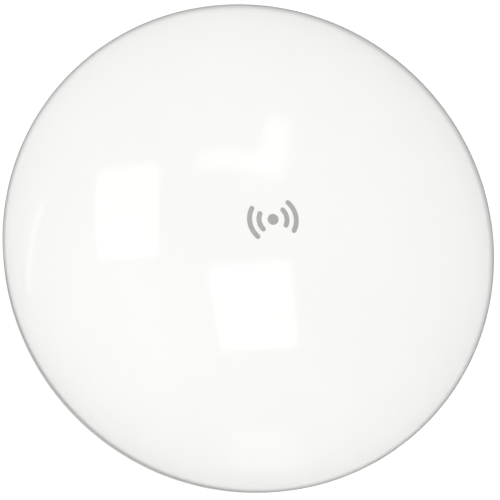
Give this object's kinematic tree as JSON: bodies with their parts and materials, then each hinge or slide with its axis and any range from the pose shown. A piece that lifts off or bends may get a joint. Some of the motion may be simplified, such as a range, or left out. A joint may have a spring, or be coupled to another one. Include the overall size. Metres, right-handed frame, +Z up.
{
  "type": "radome dish antenna",
  "caption": "Outdoor wireless dish antenna with a domed white cover, a round rear housing with a covered cable port, and a lockable ball-joint bracket that a steel strap holds on a pole.",
  "frame": {"origin": "centre of the clamped pole, at the middle of the strap's width", "axes": "+Z up along the pole; the antenna looks along -Y, and +X is on the right seen from the front"},
  "size_m": [0.189, 0.171, 0.189],
  "materials": {
    "dome_gloss_white": "glossy white radome plastic, very smooth",
    "housing_white": "fine satin texture",
    "bracket_white": "moulded satin",
    "emblem_grey": "printed ink film",
    "black_rubber": "soft matte",
    "dish_aluminium": "spun sheet, lightly brushed in circles",
    "stainless_steel": "rolled strip and turned screws",
    "zinc_steel": "bright zinc plating",
    "natural_plastic": "unpainted engineering plastic",
    "copper_jacket": "copper-jacketed rigid line",
    "circuit_green": "solder mask",
    "tinned_steel": "stamped and tinned",
    "chip_black": "moulded chip package",
    "capacitor_can": "drawn can",
    "gold_contacts": "gold flash",
    "button_grey": "moulded",
    "led_lens": "unlit lens",
    "clear_lens": "clear moulded light guide"
  },
  "bodies": {
    "bracket": {"pole_bracket": "bracket_white", "strap_band": "stainless_steel", "strap_housing": "stainless_steel"},
    "strap_worm": {"strap_screw": "zinc_steel"},
    "azimuth_cup": {"ball_liner": "natural_plastic"},
    "elevation_ring": {"compression_ring": "natural_plastic"},
    "antenna": {"front_dome": "dome_gloss_white", "dome_emblem": "emblem_grey", "dome_seal": "black_rubber", "reflector_dish": "dish_aluminium", "reflector_screws": "stainless_steel", "feed_tube": "natural_plastic", "feed_coax": "copper_jacket", "feed_board": "circuit_green", "feed_cap": "natural_plastic", "sub_reflector": "dish_aluminium", "main_board": "circuit_green", "board_screws": "stainless_steel", "radio_shield": "tinned_steel", "radio_chip": "chip_black", "processor_chip": "chip_black", "memory_chips": "chip_black", "ethernet_transformer": "chip_black", "board_capacitors": "capacitor_can", "ethernet_jack": "tinned_steel", "jack_contacts": "gold_contacts", "reset_switch": "chip_black", "status_leds": "led_lens", "light_pipes": "clear_lens", "rear_housing": "housing_white", "port_surround": "housing_white"},
    "washer": {"thrust_washer": "natural_plastic"},
    "lock_ring": {"lock_band": "housing_white"},
    "cover": {"port_cover": "housing_white", "cable_grommet": "black_rubber"},
    "latch": {"cover_latch": "housing_white"},
    "button": {"reset_button": "button_grey"}
  },
  "joints": [
    {"name": "azimuth_swing", "type": "hinge", "parent": "bracket", "child": "azimuth_cup", "pos_m": [0, -0.05804, 0], "axis": [0, 0, 1], "range_deg": [-20, 20]},
    {"name": "elevation_swing", "type": "hinge", "parent": "azimuth_cup", "child": "elevation_ring", "pos_m": [0, -0.05804, 0], "axis": [1, 0, 0], "range_deg": [-20, 20]},
    {"name": "antenna_roll", "type": "hinge", "parent": "elevation_ring", "child": "antenna", "pos_m": [0, -0.05804, 0], "axis": [0, 1, 0], "continuous": true},
    {"name": "band_advance", "type": "slide", "parent": "antenna", "child": "washer", "axis": [0, 1, 0], "range_m": [0, 0.00167]},
    {"name": "band_turn", "type": "hinge", "parent": "washer", "child": "lock_ring", "pos_m": [0, -0.05804, 0], "axis": [0, 1, 0], "range_deg": [0, 150]},
    {"name": "cover_slide", "type": "slide", "parent": "antenna", "child": "cover", "axis": [0, 0, -1], "range_m": [0, 0.045]},
    {"name": "latch_press", "type": "slide", "parent": "cover", "child": "latch", "axis": [0, -1, 0], "range_m": [0, 0.001], "stiffness_N_per_m": 600, "springref_m": -0.001},
    {"name": "reset_press", "type": "slide", "parent": "antenna", "child": "button", "axis": [0, 0, 1], "range_m": [0, 0.00035], "stiffness_N_per_m": 2000, "springref_m": -0.0005},
    {"name": "strap_screw_turn", "type": "hinge", "parent": "bracket", "child": "strap_worm", "pos_m": [0, 0.02598, 0], "axis": [1, 0, 0], "continuous": true}
  ],
  "couplings": [
    {"joint": "band_turn", "follows": "band_advance", "rad_per_m": 1570.8}
  ]
}
